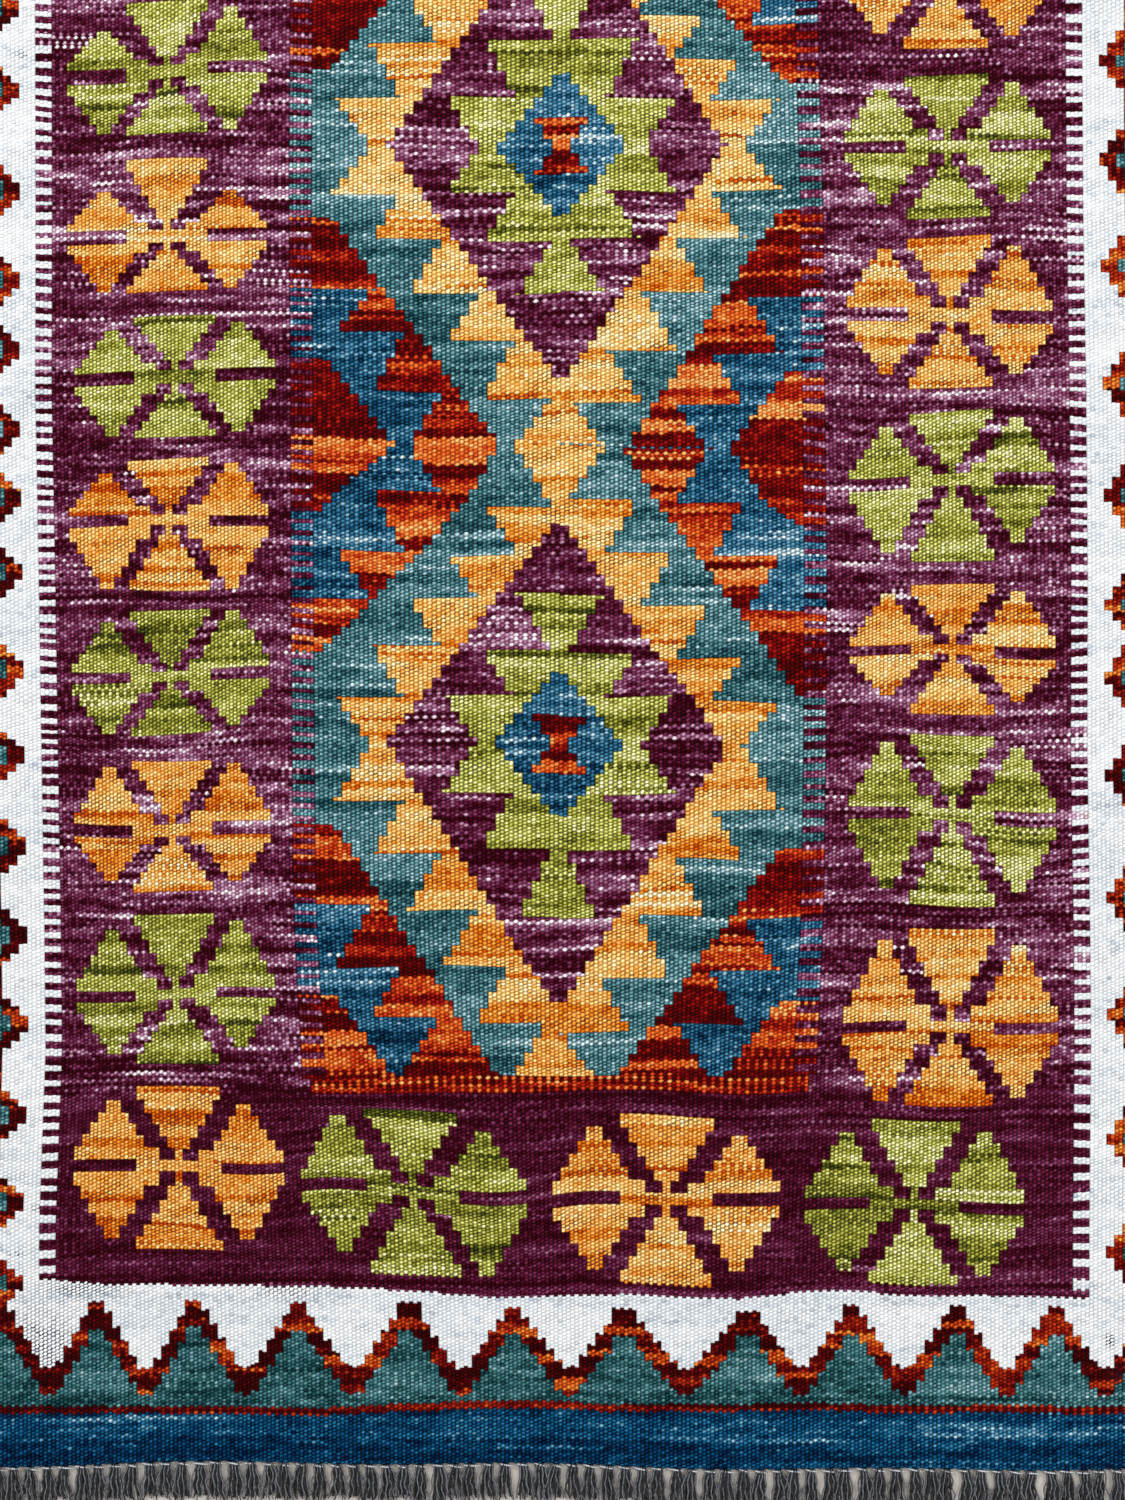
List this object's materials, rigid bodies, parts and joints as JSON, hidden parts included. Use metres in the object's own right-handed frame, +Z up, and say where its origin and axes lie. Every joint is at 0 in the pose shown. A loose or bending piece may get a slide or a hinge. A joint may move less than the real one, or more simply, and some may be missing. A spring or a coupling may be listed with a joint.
{
  "type": "kilim rug",
  "caption": "Small flat-woven kilim rug with stepped diamonds, wheel rosettes, a zigzag border and a short wool fringe at both ends.",
  "frame": {"origin": "on the floor, under the middle of the whole rug with its fringes", "axes": "+X across the rug, to the right in the picture; +Y along the warps, up in the picture and away from the pictured fringe; +Z up, out of the rug's face"},
  "size_m": [0.8364, 1.2944, 0.0032],
  "materials": {
    "woven_wool": "weft-faced tapestry weave in dyed wool, matt, ribbed along the warps",
    "fringe_wool": "cut ends of plied dark grey wool warps, matt and hairy",
    "end_twine": "thin pale twine, plied and pulled tight"
  },
  "bodies": {
    "root": {"rug_cloth": "woven_wool", "fringe_front": "fringe_wool", "fringe_back": "fringe_wool"}
  },
  "joints": []
}
